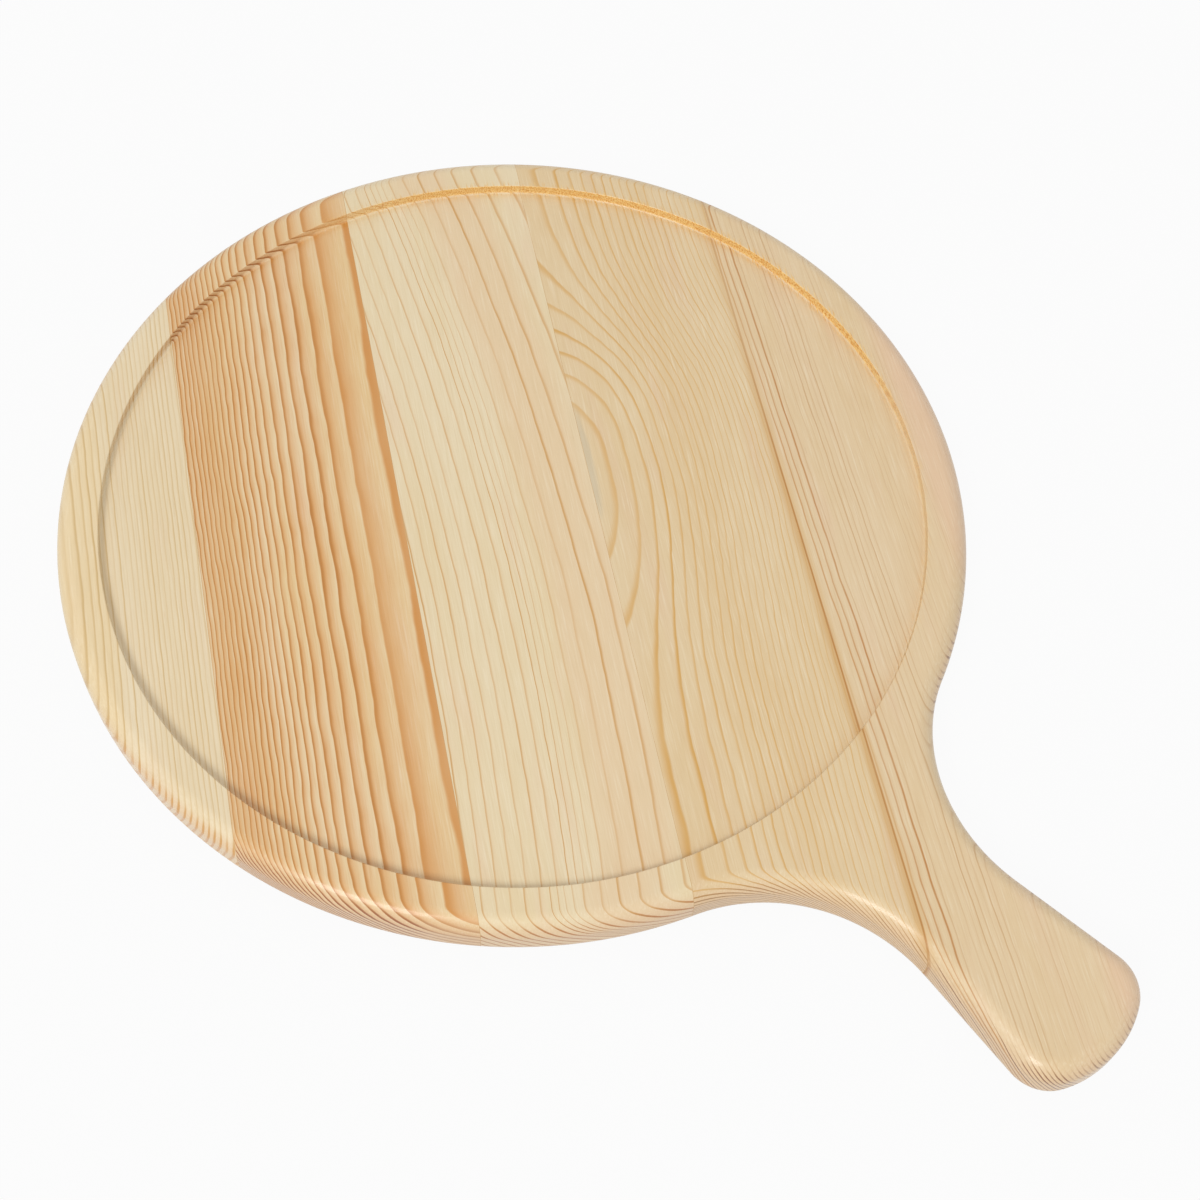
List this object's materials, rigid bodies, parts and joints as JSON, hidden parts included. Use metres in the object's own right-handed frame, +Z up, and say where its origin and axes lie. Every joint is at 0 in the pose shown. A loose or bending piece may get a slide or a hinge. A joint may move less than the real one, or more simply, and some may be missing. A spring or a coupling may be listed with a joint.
{
  "type": "pizza serving board",
  "caption": "Round wooden serving board glued up from straight staves, with a shallow round recess in its face and a short flared paddle handle.",
  "frame": {"origin": "centre of the round part, on the underside that rests on the table", "axes": "+Z up out of the recessed face, -Y from the centre of the disc along the handle to its tip, +X to the right seen from above with the handle towards the viewer"},
  "size_m": [0.3, 0.404, 0.018],
  "materials": {
    "pine_cream": "satin",
    "pine_banded": "satin",
    "pine_straight": "satin",
    "pine_arched": "satin",
    "pine_fine": "satin",
    "wood_glue": "matt"
  },
  "bodies": {
    "root": {"stave_1": "pine_cream", "stave_2": "pine_banded", "stave_3": "pine_straight", "stave_4": "pine_arched", "stave_5": "pine_fine", "glue_line_1": "wood_glue", "glue_line_2": "wood_glue", "glue_line_3": "wood_glue", "glue_line_4": "wood_glue"}
  },
  "joints": []
}
